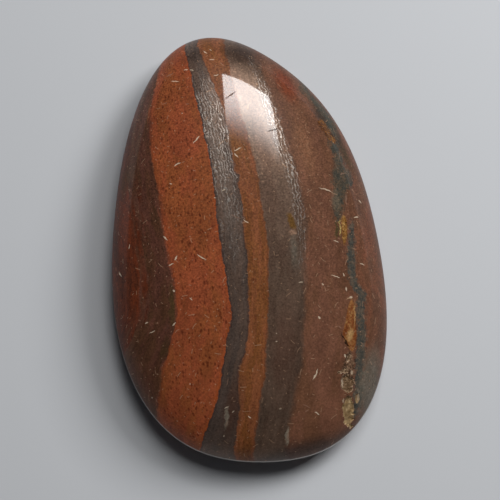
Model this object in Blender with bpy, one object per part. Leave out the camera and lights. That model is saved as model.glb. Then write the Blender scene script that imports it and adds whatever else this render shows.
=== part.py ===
"""Banded ironstone, ground and polished as a free-form palm stone.

One egg-shaped solid: a smooth dome on top, a low rounded back, and a small flat
spot under it to rest on. At the wide end, on the +X side of the dome, the softer
yellow seam has broken out and left three shallow hollows.

The stone lies on its back. +Z points up through the dome, and +Y to the narrow
end. The origin is on the flat spot, in the middle of the length and the width.
"""

import cmath
import math
from typing import NamedTuple

import bmesh
import bpy
from mathutils import Matrix, Vector
from mathutils.bvhtree import BVHTree

# Driving dimensions, in metres
LENGTH = 0.0450
WIDTH = 0.0280
DOME_HEIGHT = 0.0072  # from the widest line up to the top
BACK_DEPTH = 0.0024  # from the widest line down to the flat spot

# How far the edge stands outside a plain ellipse, as a share of the ellipse's own
# radius, every 30 degrees from +X towards +Y
EDGE_SWELL = (-0.011, -0.017, -0.035, 0.003, -0.041, -0.100, -0.037, 0.088, 0.044, -0.004, 0.066, 0.060)

# Fullness of the two curves: 2 is an ellipse, and more is flatter in the middle
DOME_FULLNESS = 2.25
BACK_FULLNESS = 2.4

# The flat spot's width, as a share of the stone's width
FLAT_SHARE = 0.34

# Fineness of the faceted solid
SEGMENTS_ROUND = 96
DOME_RINGS = 24
BACK_RINGS = 9
CUTTER_SUBDIVISIONS = 2

STONE_COLOUR = (0.115, 0.040, 0.022, 1.0)
STONE_ROUGHNESS = 0.18
MERGE_DISTANCE = 1e-6
ABOVE_STONE = 0.1  # a height well clear of the dome, to look down from


class Hollow(NamedTuple):
    """A place where the seam has broken out; lengths in metres, the turn in degrees."""

    across: float  # along X
    along: float  # along Y
    width: float
    length: float
    depth: float
    turn: float  # of the long way, from straight up the dome


HOLLOWS = {
    "inner_hollow": Hollow(across=0.0079, along=-0.0162, width=0.0013, length=0.0018, depth=0.00028, turn=-4),
    "end_hollow": Hollow(across=0.0076, along=-0.0188, width=0.0012, length=0.0031, depth=0.00034, turn=-8),
    "outer_hollow": Hollow(across=0.0087, along=-0.0177, width=0.0005, length=0.0009, depth=0.00020, turn=-14),
}


def clear_scene():
    """Removes whatever the startup file holds."""
    for obj in list(bpy.data.objects):
        bpy.data.objects.remove(obj, do_unlink=True)


def swell_at(angle):
    """The edge's swell at any angle: a smooth wave through the twelve stated values."""
    count = len(EDGE_SWELL)
    total = sum(EDGE_SWELL) / count
    for wave in range(1, count // 2 + 1):
        strength = sum(
            value * cmath.exp(-2j * math.pi * wave * step / count)
            for step, value in enumerate(EDGE_SWELL)
        )
        share = 1 if 2 * wave == count else 2
        total += share * (strength * cmath.exp(1j * wave * angle)).real / count
    return total


def plain_place(reach, angle):
    """A point inside the outline, before it is fitted: reach 0 is the middle and 1 is the edge.

    The swell fades towards the middle, so that the dome has no crease there.
    """
    stretch = reach * (1 + swell_at(angle) * reach**2)
    return Vector((WIDTH / 2 * stretch * math.cos(angle), LENGTH / 2 * stretch * math.sin(angle)))


def fitted_place():
    """Returns plain_place, moved and stretched to the stated length and width."""
    edge = [plain_place(1, math.radians(degree)) for degree in range(360)]
    low = Vector((min(p.x for p in edge), min(p.y for p in edge)))
    high = Vector((max(p.x for p in edge), max(p.y for p in edge)))
    middle = (low + high) / 2
    fit = Vector((WIDTH / (high.x - low.x), LENGTH / (high.y - low.y)))

    def place(reach, angle):
        return (plain_place(reach, angle) - middle) * fit

    return place


def profile():
    """Reach and height along the stone's section: top, widest line, flat spot's rim, centre."""
    points = []
    for ring in range(DOME_RINGS + 1):
        turn = math.pi / 2 * ring / DOME_RINGS
        reach = math.sin(turn) ** (2 / DOME_FULLNESS)
        points.append((reach, BACK_DEPTH + DOME_HEIGHT * math.cos(turn)))
    flat_turn = math.asin(FLAT_SHARE ** (BACK_FULLNESS / 2))
    full_depth = BACK_DEPTH / math.cos(flat_turn)
    for ring in range(1, BACK_RINGS + 1):
        turn = math.pi / 2 + (flat_turn - math.pi / 2) * ring / BACK_RINGS
        reach = math.sin(turn) ** (2 / BACK_FULLNESS)
        points.append((reach, BACK_DEPTH - full_depth * math.cos(turn)))
    points.append((0.0, 0.0))
    return points


def stone_mesh():
    """The whole stone: the section turned once round, then drawn out to the egg outline."""
    bm = bmesh.new()
    line = [bm.verts.new((reach, 0, height)) for reach, height in profile()]
    edges = [bm.edges.new(pair) for pair in zip(line, line[1:])]
    bmesh.ops.spin(
        bm,
        geom=line + edges,
        cent=(0, 0, 0),
        axis=(0, 0, 1),
        angle=2 * math.pi,
        steps=SEGMENTS_ROUND,
        use_merge=True,
    )
    bmesh.ops.remove_doubles(bm, verts=bm.verts, dist=MERGE_DISTANCE)
    place = fitted_place()
    for vert in bm.verts:
        reach = math.hypot(vert.co.x, vert.co.y)
        angle = math.atan2(vert.co.y, vert.co.x)
        vert.co.xy = place(reach, angle)
    bmesh.ops.recalc_face_normals(bm, faces=bm.faces)
    return bm


def make_object(name, bm):
    """Turns a bmesh into a named object in the scene."""
    mesh = bpy.data.meshes.new(name)
    bm.to_mesh(mesh)
    bm.free()
    obj = bpy.data.objects.new(name, mesh)
    bpy.context.scene.collection.objects.link(obj)
    return obj


def stone_material():
    """Polished red-brown ironstone."""
    material = bpy.data.materials.new("polished_ironstone")
    material.use_nodes = True
    shader = material.node_tree.nodes["Principled BSDF"]
    shader.inputs["Base Color"].default_value = STONE_COLOUR
    shader.inputs["Roughness"].default_value = STONE_ROUGHNESS
    shader.inputs["Metallic"].default_value = 0.0
    return material


def hollow_cutter(name, surface, hollow):
    """An egg half sunk in the dome: its sunken half is the hollow, and the rest is in the air."""
    look_from = Vector((hollow.across, hollow.along, ABOVE_STONE))
    spot, outward, _, _ = surface.ray_cast(look_from, Vector((0, 0, -1)))
    side = Vector((0, 1, 0)).cross(outward).normalized()
    uphill = outward.cross(side)
    lie = Matrix((side, uphill, outward)).transposed().to_4x4()
    turn = Matrix.Rotation(math.radians(hollow.turn), 4, "Z")
    size = Matrix.Diagonal((hollow.width / 2, hollow.length / 2, hollow.depth, 1))
    bm = bmesh.new()
    bmesh.ops.create_icosphere(bm, subdivisions=CUTTER_SUBDIVISIONS, radius=1.0)
    bmesh.ops.transform(bm, matrix=Matrix.Translation(spot) @ lie @ turn @ size, verts=bm.verts)
    cutter = make_object(name, bm)
    cutter.hide_render = True
    cutter.display_type = "WIRE"
    return cutter


def build():
    """Makes the stone with its hollows."""
    clear_scene()
    bm = stone_mesh()
    surface = BVHTree.FromBMesh(bm)
    stone = make_object("banded_ironstone", bm)
    stone.data.materials.append(stone_material())
    stone.data.shade_smooth()
    for name, hollow in HOLLOWS.items():
        cut = stone.modifiers.new(name, "BOOLEAN")
        cut.operation = "DIFFERENCE"
        cut.solver = "EXACT"
        cut.object = hollow_cutter(name, surface, hollow)


build()
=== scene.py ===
"""Looks of a banded ironstone palm stone: red jasper, grey hematite and a broken tiger-eye seam.

The solid from the frame gives the size and the place. One finely meshed stone stands for it,
with the same outline and section, rough broken hollows along the seam, and a procedural finish
that cuts the bands through the whole stone, so that they wrap round its rim onto its back.
Lengths in the dataclasses are in millimetres, in the stone's own frame, and heights of the
fine relief are in micrometres. Blender itself works in metres.
"""

from __future__ import annotations

import cmath
import logging
import math
from collections.abc import Callable, Iterable, Iterator
from dataclasses import dataclass
from enum import Enum

import bmesh
import bpy
from mathutils import Matrix, Quaternion, Vector, noise

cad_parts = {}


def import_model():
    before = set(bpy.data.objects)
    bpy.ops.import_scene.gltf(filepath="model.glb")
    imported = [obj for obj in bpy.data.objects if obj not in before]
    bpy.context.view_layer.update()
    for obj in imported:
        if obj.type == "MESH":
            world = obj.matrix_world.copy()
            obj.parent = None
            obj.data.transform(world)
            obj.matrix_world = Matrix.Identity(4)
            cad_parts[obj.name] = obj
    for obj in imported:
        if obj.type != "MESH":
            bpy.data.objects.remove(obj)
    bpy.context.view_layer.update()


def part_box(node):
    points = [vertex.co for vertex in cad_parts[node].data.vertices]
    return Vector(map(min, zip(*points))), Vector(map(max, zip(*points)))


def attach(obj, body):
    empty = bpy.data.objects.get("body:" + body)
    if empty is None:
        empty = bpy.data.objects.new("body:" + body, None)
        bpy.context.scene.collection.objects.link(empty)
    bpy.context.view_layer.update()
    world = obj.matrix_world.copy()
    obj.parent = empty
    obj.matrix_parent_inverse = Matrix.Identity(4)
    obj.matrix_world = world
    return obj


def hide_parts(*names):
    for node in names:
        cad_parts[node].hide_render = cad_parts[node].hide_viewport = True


LOG = logging.getLogger("banded_ironstone")
MM = 0.001
MICROMETRE = 1e-6
STONE_NODE = "banded_ironstone"
BROKEN = "broken"
BLACK = (0.0, 0.0, 0.0, 1.0)
MIDDLE = (0.5, 0.5, 0.5)
DISPLAY_KNEE = 0.04045
DISPLAY_FOOT = 12.92
DISPLAY_OFFSET = 0.055
DISPLAY_POWER = 2.4
COLUMN_HALF_HEIGHT = 1000.0

Socket = bpy.types.NodeSocket
Number = Socket | float
Feed = Socket | float | tuple[float, ...]
Colour = tuple[float, float, float, float]
Points = tuple[tuple[float, float], ...]
Stops = tuple[tuple[float, str], ...]
Span = tuple[float, float]
Weights = tuple[float, float]
Coat = tuple[Socket, Socket]


def tone(code: str) -> Colour:
    """Turns a display colour into the linear colour that the shaders use.

    Args:
        code: The colour as six hexadecimal digits, red first.

    Returns:
        Linear red, green, blue and an alpha of 1.
    """
    linear = []
    for start in (0, 2, 4):
        value = int(code[start : start + 2], 16) / 255
        if value <= DISPLAY_KNEE:
            linear.append(value / DISPLAY_FOOT)
        else:
            linear.append(((value + DISPLAY_OFFSET) / (1 + DISPLAY_OFFSET)) ** DISPLAY_POWER)
    return (linear[0], linear[1], linear[2], 1.0)


class Mineral(Enum):
    """What a band is made of, which sets how it takes a polish."""

    JASPER = "jasper"
    HEMATITE = "hematite"
    MIXED = "mixed"


@dataclass(frozen=True)
class Polish:
    """How a mineral reflects under its polish.

    Attributes:
        metallic: Share of metallic reflection.
        roughness: Roughness of the body of the mineral.
    """

    metallic: float
    roughness: float


POLISHES = {
    Mineral.JASPER: Polish(metallic=0.0, roughness=0.45),
    Mineral.HEMATITE: Polish(metallic=0.35, roughness=0.38),
    Mineral.MIXED: Polish(metallic=0.15, roughness=0.42),
}


@dataclass(frozen=True)
class Band:
    """One band of the stone.

    Attributes:
        name: What a maker would call it, which labels its node.
        mineral: What it is made of.
        colour: Its main colour.
        second: A colour that it drifts into from place to place.
        streak: How strongly it is streaked along the banding.
        grain: How strongly it is grained.
        cloud: How strongly it varies from place to place.
        strands: How many bright metallic strands it has, from 0 to 1.
    """

    name: str
    mineral: Mineral
    colour: str
    second: str
    streak: float = 0.8
    grain: float = 1.0
    cloud: float = 0.5
    strands: float = 0.0


@dataclass(frozen=True)
class Line:
    """A line between two bands, down the stone's length.

    Attributes:
        points: Places along the length and across the banding, from the wide end up.
        softness: Width over which one band turns into the next.
        ragged: How far streaks of one band run into the other.
    """

    points: Points
    softness: float = 0.12
    ragged: float = 0.0


@dataclass(frozen=True)
class Tint:
    """A colour laid over others.

    Attributes:
        code: The colour.
        cover: How far it covers what is under it.
    """

    code: str
    cover: float


@dataclass(frozen=True)
class Margin:
    """A tinted strip along one side of a line.

    Attributes:
        line: Which line, counted from 0 at the left.
        side: 1 for its right side and -1 for its left.
        width: The strip's width.
        tint: Its colour.
    """

    line: int
    side: int
    width: float
    tint: Tint


@dataclass(frozen=True)
class Vein:
    """A narrow streak in the seam.

    Attributes:
        course: The middle of the streak: places along the length and across the banding.
        half_width: Half the streak's width: places along the length, and the half width there.
        tones: The colours of its fibres.
        ragged: How uneven its edges are.
        soft: Width over which its edges fade.
        on_face: Whether it ends with the domed face.
    """

    course: Points
    half_width: Points
    tones: Stops
    ragged: float = 0.7
    soft: float = 0.15
    on_face: bool = True


@dataclass(frozen=True)
class Mark:
    """An oval mark on the polished face, as seen from above.

    Attributes:
        across: Place of its middle across the width.
        along: Place of its middle along the length.
        length: Its length.
        turn: Turn of its length, in degrees anticlockwise from +X.
        width: Its width.
    """

    across: float
    along: float
    length: float
    turn: float
    width: float = 0.14


@dataclass(frozen=True)
class Patch:
    """A place on the polished face with a colour of its own.

    Attributes:
        where: Its oval.
        dark: Colour of its darkest fibres.
        pale: Colour of its palest fibres.
        strength: How far it covers the band under it.
        edge: Share of its reach over which it fades: small for a crisp patch, 1 for a blush.
    """

    where: Mark
    dark: str
    pale: str
    strength: float
    edge: float


@dataclass(frozen=True)
class Hollow:
    """A place where the seam has broken out of the polished face.

    Attributes:
        across: Place across the width.
        along: Place along the length.
        width: Size across.
        length: Size along.
        depth: Depth under the polished face.
        turn: Turn of the long way, in degrees anticlockwise from +Y.
    """

    across: float
    along: float
    width: float
    length: float
    depth: float
    turn: float


@dataclass(frozen=True)
class Swells:
    """Settings of a smooth noise.

    Attributes:
        scale: How many swells it has in a unit of place.
        detail: How many finer layers it has.
        rough: How strong the finer layers are.
        twist: How far it is distorted.
        along: Share of the length that it reads; a small one draws it out along the stone.
        down: Share of the height that it reads.
    """

    scale: float
    detail: float = 2.0
    rough: float = 0.5
    twist: float = 0.0
    along: float = 1.0
    down: float = 1.0


@dataclass(frozen=True)
class Crook:
    """How the outline of a mark is made uneven.

    Attributes:
        swells: The noise that shifts it.
        amount: How far it is shifted at most.
    """

    swells: Swells
    amount: float


@dataclass(frozen=True)
class Pinholes:
    """One size of dark pinholes in the jaspers.

    Attributes:
        cell: Size of the cells that may hold one each.
        pick: Values of a cell's own number between which it comes to hold one.
        tint: Their colour.
    """

    cell: float
    pick: Span
    tint: Tint


@dataclass(frozen=True)
class PinholeField:
    """A band that has pinholes.

    Attributes:
        left: The line on its left, counted from 0 at the stone's left.
        right: The line on its right.
        left_span: Span of distances from the left line over which they come in.
        right_span: The same from the right line.
        strength: How strong they are there.
    """

    left: int
    right: int
    left_span: Span
    right_span: Span
    strength: float


@dataclass(frozen=True)
class Strokes:
    """One size of scattered strokes.

    Attributes:
        cell: Size of the cells that may hold one each.
        long_half: Half the length of the longest.
        thin_half: Half their width.
        keep: Share of the cells that hold one.
        lie: How unevenly the cells lie.
        shortest: Length of the shortest, as a share of the longest.
        bow: How far they bend.
        tip: Length over which their ends fade.
        core: Share of their width that is full.
        pick_width: Span of a cell's own number over which it comes to hold one.
    """

    cell: float
    long_half: float
    thin_half: float
    keep: float
    lie: float = 0.9
    shortest: float = 0.3
    bow: float = 1.2
    tip: float = 0.08
    core: float = 0.3
    pick_width: float = 0.02


class NodeSheet:
    """Short ways to add shader nodes to one material."""

    def __init__(self, material: bpy.types.Material) -> None:
        """Empties the material's node tree and keeps it.

        Args:
            material: The material to fill.
        """
        material.use_nodes = True
        self.tree = material.node_tree
        self.tree.nodes.clear()

    def add(self, kind: str, **settings: object) -> bpy.types.Node:
        """Adds a node.

        Args:
            kind: The node's type name without its leading ShaderNode.
            settings: Properties to set on it.

        Returns:
            The new node.
        """
        node = self.tree.nodes.new("ShaderNode" + kind)
        for name, value in settings.items():
            setattr(node, name, value)
        return node

    def feed(self, socket: Socket, value: Feed) -> None:
        """Links a socket to another, or sets its value.

        Args:
            socket: The input to feed.
            value: A socket, or a plain value.
        """
        if isinstance(value, bpy.types.NodeSocket):
            self.tree.links.new(value, socket)
        else:
            socket.default_value = value

    def math(self, operation: str, *values: Number, clamp: bool = False) -> Socket:
        """Adds a Math node.

        Args:
            operation: Blender's name for the operation.
            values: What it works on.
            clamp: Whether its result is kept within 0 and 1.

        Returns:
            Its result.
        """
        node = self.add("Math", operation=operation, use_clamp=clamp)
        for socket, value in zip(node.inputs, values):
            self.feed(socket, value)
        return node.outputs[0]

    def product(self, *values: Number) -> Socket:
        """Multiplies two or more numbers.

        Args:
            values: The numbers.

        Returns:
            Their product.
        """
        total = values[0]
        for value in values[1:]:
            total = self.math("MULTIPLY", total, value)
        return total

    def plus(self, first: Number, second: Number) -> Socket:
        """Returns the sum of two numbers."""
        return self.math("ADD", first, second)

    def minus(self, first: Number, second: Number) -> Socket:
        """Returns the first number less the second."""
        return self.math("SUBTRACT", first, second)

    def highest(self, values: Iterable[Socket]) -> Socket:
        """Picks the highest of several numbers, taking each in as soon as it is made.

        Args:
            values: The numbers, at least one.

        Returns:
            The highest.
        """
        waiting = iter(values)
        top = next(waiting)
        for value in waiting:
            top = self.math("MAXIMUM", top, value)
        return top

    def swing(self, source: Number, amount: float) -> Socket:
        """Returns how far a noise value is from its middle, times an amount."""
        return self.math("MULTIPLY_ADD", source, amount, -amount / 2)

    def vector(self, operation: str, *values: Feed) -> Socket:
        """Adds a Vector Math node.

        Args:
            operation: Blender's name for the operation.
            values: What it works on.

        Returns:
            Its vector.
        """
        node = self.add("VectorMath", operation=operation)
        for socket, value in zip(node.inputs, values):
            self.feed(socket, value)
        return node.outputs["Vector"]

    def dot(self, first: Feed, second: Feed) -> Socket:
        """Returns the dot product of two vectors.

        Args:
            first: One vector.
            second: The other.

        Returns:
            Their dot product.
        """
        node = self.add("VectorMath", operation="DOT_PRODUCT")
        self.feed(node.inputs[0], first)
        self.feed(node.inputs[1], second)
        return node.outputs["Value"]

    def scaled(self, vector: Feed, factor: Number) -> Socket:
        """Multiplies a vector by a number.

        Args:
            vector: The vector.
            factor: The number.

        Returns:
            The longer or shorter vector.
        """
        node = self.add("VectorMath", operation="SCALE")
        self.feed(node.inputs[0], vector)
        self.feed(node.inputs["Scale"], factor)
        return node.outputs["Vector"]

    def parts(self, vector: Feed) -> tuple[Socket, ...]:
        """Splits a vector, or a colour used as one.

        Args:
            vector: What to split.

        Returns:
            Its X, Y and Z.
        """
        node = self.add("SeparateXYZ")
        self.feed(node.inputs[0], vector)
        return tuple(node.outputs)

    def joined(self, x: Number, y: Number, z: Number) -> Socket:
        """Makes a vector.

        Args:
            x: Its X.
            y: Its Y.
            z: Its Z.

        Returns:
            The vector.
        """
        node = self.add("CombineXYZ")
        for socket, value in zip(node.inputs, (x, y, z)):
            self.feed(socket, value)
        return node.outputs[0]

    def rise(self, value: Number, low: Number, high: Number) -> Socket:
        """Rises smoothly from 0 to 1.

        Args:
            value: What is measured.
            low: Where it is 0.
            high: Where it is 1, which may be the lower of the two.

        Returns:
            The risen value.
        """
        node = self.add("MapRange", interpolation_type="SMOOTHSTEP")
        self.feed(node.inputs["Value"], value)
        self.feed(node.inputs["From Min"], low)
        self.feed(node.inputs["From Max"], high)
        return node.outputs["Result"]

    def blend(self, factor: Number, first: Feed, second: Feed, mode: str = "MIX") -> Socket:
        """Mixes two colours.

        Args:
            factor: Share of the second colour.
            first: The first colour.
            second: The second colour.
            mode: Blender's name for the way they are mixed.

        Returns:
            The mixed colour.
        """
        node = self.add("Mix", data_type="RGBA", blend_type=mode)
        self.feed(node.inputs["Factor"], factor)
        colour_inputs = [socket for socket in node.inputs if socket.type == "RGBA"]
        self.feed(colour_inputs[0], first)
        self.feed(colour_inputs[1], second)
        return next(socket for socket in node.outputs if socket.type == "RGBA")

    def lay_over(self, ground: Feed, coats: Iterable[Coat]) -> tuple[Socket, Socket]:
        """Lays coats of colour over a ground.

        Each coat is taken in as soon as it is made, and the gathered paint is laid over the ground
        at the end, which keeps the shader's use of working memory low.

        Args:
            ground: The colour under them.
            coats: The mask and the colour of each, the lowest first.

        Returns:
            The new colour, and how far the coats cover the ground.
        """
        paint = BLACK
        bare = 1.0
        for mask, shade in coats:
            paint = self.blend(mask, paint, shade)
            bare = self.product(bare, self.minus(1.0, mask))
        left = self.blend(bare, BLACK, ground)
        return self.blend(1.0, left, paint, "ADD"), self.minus(1.0, bare)

    def tinted(self, colour: Feed, mask: Number, tint: Tint) -> Socket:
        """Returns a colour with a tint laid over it inside a mask."""
        return self.blend(self.product(mask, tint.cover), colour, tone(tint.code))

    def noise(self, place: Feed, swells: Swells, output: str = "Fac") -> Socket:
        """Adds a Noise texture.

        Args:
            place: Where to read it.
            swells: Its settings.
            output: Which of its outputs to read.

        Returns:
            Its value, about 0.3 to 0.7, or its colour.
        """
        node = self.add("TexNoise")
        self.feed(node.inputs["Vector"], place)
        node.inputs["Scale"].default_value = swells.scale
        node.inputs["Detail"].default_value = swells.detail
        node.inputs["Roughness"].default_value = swells.rough
        node.inputs["Distortion"].default_value = swells.twist
        return node.outputs[output]

    def wobble(self, place: Feed, crook: Crook) -> Socket:
        """Shifts a place by noise, so that shapes laid on it get uneven edges.

        Args:
            place: The place.
            crook: How uneven they get.

        Returns:
            The shifted place.
        """
        centred = self.vector("SUBTRACT", self.noise(place, crook.swells, "Color"), MIDDLE)
        return self.vector("ADD", place, self.scaled(centred, 2 * crook.amount))

    def cells(self, place: Feed, size: float, scatter: float = 1.0) -> bpy.types.Node:
        """Adds a Voronoi texture.

        Args:
            place: Where to read it.
            size: About how large its cells are.
            scatter: How unevenly they lie.

        Returns:
            Its node.
        """
        node = self.add("TexVoronoi")
        self.feed(node.inputs["Vector"], place)
        node.inputs["Scale"].default_value = 1 / size
        node.inputs["Randomness"].default_value = scatter
        return node

    def ramp(self, value: Number, stops: Stops) -> Socket:
        """Picks a colour from a row of colours.

        Args:
            value: The place in the row.
            stops: Places and display colours.

        Returns:
            The colour.
        """
        node = self.add("ValToRGB")
        self.feed(node.inputs[0], value)
        elements = node.color_ramp.elements
        while len(elements) < len(stops):
            elements.new(0.5)
        for element, (position, code) in zip(elements, stops):
            element.position = position
            element.color = tone(code)
        return node.outputs["Color"]

    def course(self, along: Number, points: Points, reach: float) -> Socket:
        """Reads a smooth line through points.

        Args:
            along: Where to read it.
            points: The line's points, in order.
            reach: The largest place or value, up or down from 0, that it can hold.

        Returns:
            The line's value there.
        """
        node = self.add("FloatCurve")
        curve = node.mapping.curves[0]
        while len(curve.points) < len(points):
            curve.points.new(0.5, 0.5)
        for point, (place, value) in zip(curve.points, points):
            point.location = (0.5 + 0.5 * place / reach, 0.5 + 0.5 * value / reach)
            point.handle_type = "AUTO_CLAMPED"
        node.mapping.extend = "HORIZONTAL"
        node.mapping.update()
        self.feed(node.inputs["Value"], self.math("MULTIPLY_ADD", along, 0.5 / reach, 0.5))
        return self.math("MULTIPLY_ADD", node.outputs[0], 2 * reach, -reach)

    def oval(self, place: Feed, mark: Mark) -> Socket:
        """Measures how deep a place lies in an upright oval column.

        Args:
            place: The place.
            mark: The oval.

        Returns:
            1 on the column's axis, falling to 0 at its side and beyond.
        """
        turned = self.add("Mapping", vector_type="TEXTURE")
        self.feed(turned.inputs["Vector"], place)
        turned.inputs["Location"].default_value = (mark.across, mark.along, 0)
        turned.inputs["Rotation"].default_value = (0, 0, math.radians(mark.turn))
        turned.inputs["Scale"].default_value = (mark.length / 2, mark.width / 2, COLUMN_HALF_HEIGHT)
        fade = self.add("TexGradient", gradient_type="SPHERICAL")
        self.feed(fade.inputs["Vector"], turned.outputs[0])
        return fade.outputs["Fac"]


@dataclass(frozen=True)
class Makeup:
    """How the rock is made up: leaning layers, the lines between bands, and the noises in them.

    Attributes:
        dip: How far the layers lean across the stone in each millimetre of height.
        dip_from: The height where they are in their drawn place.
        reach: The largest place or value that a smooth line can hold.
        lines: The lines between the bands, from the left.
        laminae: How many laminae each band has.
        face: Span of heights over which the domed face begins.
        slow: Slow swells of the lines.
        slow_sway: How far they move a line.
        fray: Small unevenness of the lines.
        fray_sway: How far it moves a line.
        streak: Soft lengthwise streaks.
        fibre: Fine lengthwise fibres.
        grain: Fine grain.
        cloud: Large soft clouds.
        drift: The noise by which a band drifts into its second colour.
        drifting: Span of its values over which it does.
    """

    dip: float = 0.12
    dip_from: float = 9.6
    reach: float = 24.0
    lines: tuple[Line, ...] = (
        Line(
            ((-10.0, -15.0), (-7.3, -12.3), (-5.0, -11.0), (0.0, -10.3), (6.0, -10.5), (16.0, -8.7)),
            1.6,
            6.0,
        ),
        Line(
            (
                (-18.0, -12.6), (-13.5, -11.0), (-9.3, -8.95), (-6.6, -7.65), (-1.0, -7.35),
                (8.0, -7.6), (14.0, -7.3), (18.0, -6.1), (21.5, -5.4),
            ),
            0.5,
            1.2,
        ),
        Line(
            (
                (-20.5, -8.8), (-15.7, -5.5), (-10.4, -3.35), (-7.0, -2.2), (-2.0, -2.2),
                (7.5, -1.75), (13.0, -2.1), (21.0, -2.8),
            ),
            0.2,
            0.3,
        ),
        Line(
            (
                (-21.0, -5.0), (-17.9, -3.8), (-13.4, -2.65), (-10.8, -1.35), (-5.1, -0.28),
                (-1.5, 0.33), (3.2, 0.65), (4.8, 0.5), (5.6, 0.9), (6.4, 0.5),
                (7.4, 0.5), (13.0, 0.25), (21.5, -1.4),
            ),
            0.28,
            0.6,
        ),
        Line(
            (
                (-21.5, -3.2), (-14.0, -0.3), (-8.3, 1.2), (-2.6, 2.25), (3.3, 2.7),
                (11.0, 2.15), (20.5, 1.3),
            ),
            0.35,
            0.6,
        ),
        Line(
            ((-21.5, 0.0), (-14.4, 3.1), (-6.0, 5.3), (2.0, 6.5), (9.1, 5.95), (20.5, 3.9)),
            0.8,
            1.2,
        ),
        Line(
            (
                (-18.5, 8.3), (-12.5, 9.85), (-8.4, 10.9), (-6.5, 10.25), (-1.0, 11.1),
                (5.0, 11.5), (10.5, 11.1), (14.0, 8.9),
            ),
            0.5,
            1.0,
        ),
    )
    laminae: float = 3.0
    face: Span = (2.0, 2.6)
    slow: Swells = Swells(0.9, 1.0, along=0.35)
    slow_sway: float = 0.45
    fray: Swells = Swells(3.2, 3.0, 0.65, along=0.6)
    fray_sway: float = 0.55
    streak: Swells = Swells(1.6, 4.0, 0.6, along=0.16, down=0.16)
    fibre: Swells = Swells(5.0, 3.0, 0.65, 0.6, along=0.3, down=0.3)
    grain: Swells = Swells(4.6, 4.0, 0.75)
    cloud: Swells = Swells(0.3)
    drift: Swells = Swells(0.9, 4.0, 0.7, along=0.16, down=0.16)
    drifting: Span = (0.4, 0.6)


class StoneSheet(NodeSheet):
    """The nodes of the stone's finish, and what they read at each point of it.

    Attributes:
        makeup: How the rock is made up.
        place: The point.
        x: Its X.
        y: Its Y.
        z: Its Z.
        across: Its place across the banding, which leans.
        frayed: The same, with an uneven edge.
        edges: Place across the banding of each line between bands.
        layer: Its layer, counted so that a band's laminae follow the band.
        face: 1 on the domed face, 0 on the back.
        streak: Soft lengthwise streaks.
        fibre: Fine lengthwise fibres.
        grain: Fine grain.
        cloud: Large soft clouds.
        drift: How far each band has drifted into its second colour.
        fray: Small unevenness.
    """

    def __init__(self, material: bpy.types.Material, makeup: Makeup) -> None:
        """Empties the material's nodes, and reads the point and the noises.

        Args:
            material: The material to fill.
            makeup: How the rock is made up.
        """
        super().__init__(material)
        self.makeup = makeup
        self.place = self.scaled(self.add("TexCoord").outputs["Object"], 1 / MM)
        self.x, self.y, self.z = self.parts(self.place)
        lean = self.math("MULTIPLY_ADD", self.z, makeup.dip, -makeup.dip * makeup.dip_from)
        self.across = self.plus(self.x, lean)
        slow = self.drawn(self.x, makeup.slow)
        self.fray = self.drawn(self.x, makeup.fray)
        sway = self.plus(self.swing(slow, makeup.slow_sway), self.swing(self.fray, makeup.fray_sway))
        self.frayed = self.plus(self.across, sway)
        self.edges = tuple(self.down_length(line.points) for line in makeup.lines)
        self.layer = self.count_layers()
        self.face = self.rise(self.z, *makeup.face)
        self.streak = self.drawn(self.layer, makeup.streak)
        self.fibre = self.drawn(self.layer, makeup.fibre)
        self.grain = self.noise(self.place, makeup.grain)
        self.cloud = self.noise(self.place, makeup.cloud)
        self.drift = self.rise(self.drawn(self.layer, makeup.drift), *makeup.drifting)

    def drawn(self, across: Number, swells: Swells) -> Socket:
        """Reads a noise that is drawn out along the banding.

        Args:
            across: Distance across the banding.
            swells: The noise.

        Returns:
            Its value, about 0.3 to 0.7.
        """
        place = self.joined(across, self.product(self.y, swells.along), self.product(self.z, swells.down))
        return self.noise(place, swells)

    def down_length(self, points: Points) -> Socket:
        """Returns the value, at this point's place along the length, of a smooth line."""
        return self.course(self.y, points, self.makeup.reach)

    def past(self, line: int) -> Socket:
        """Returns how far the point lies to the right of a line between bands."""
        return self.minus(self.frayed, self.edges[line])

    def mix_share(self, weights: Weights) -> Socket:
        """Turns fibres and grain into a share of a second colour.

        Args:
            weights: How strongly the fibres and the grain vary it.

        Returns:
            The share, which wanders round a half.
        """
        mixed = self.plus(self.swing(self.fibre, weights[0]), self.swing(self.grain, weights[1]))
        return self.math("ADD", mixed, 0.5, clamp=True)

    def mark_mask(self, place: Socket, marks: tuple[Mark, ...], edge: Span) -> Socket:
        """Draws marks on the domed face.

        Args:
            place: The point, made uneven.
            marks: The marks.
            edge: Span of depths inside a mark over which it comes in.

        Returns:
            Their mask.
        """
        deepest = self.highest(self.oval(place, mark) for mark in marks)
        return self.product(self.rise(deepest, *edge), self.face)

    def count_layers(self) -> Socket:
        """Counts laminae across the stone, as many in a wide band as in a narrow one.

        Returns:
            The count, which runs on by the millimetre beyond the first and last lines.
        """
        layer = self.math("MINIMUM", self.past(0), 0.0)
        for index, (left, right) in enumerate(zip(self.edges, self.edges[1:])):
            width = self.minus(right, left)
            share = self.math("DIVIDE", self.past(index), width, clamp=True)
            layer = self.math("MULTIPLY_ADD", share, self.makeup.laminae, layer)
        return self.plus(layer, self.math("MAXIMUM", self.past(-1), 0.0))


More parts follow.
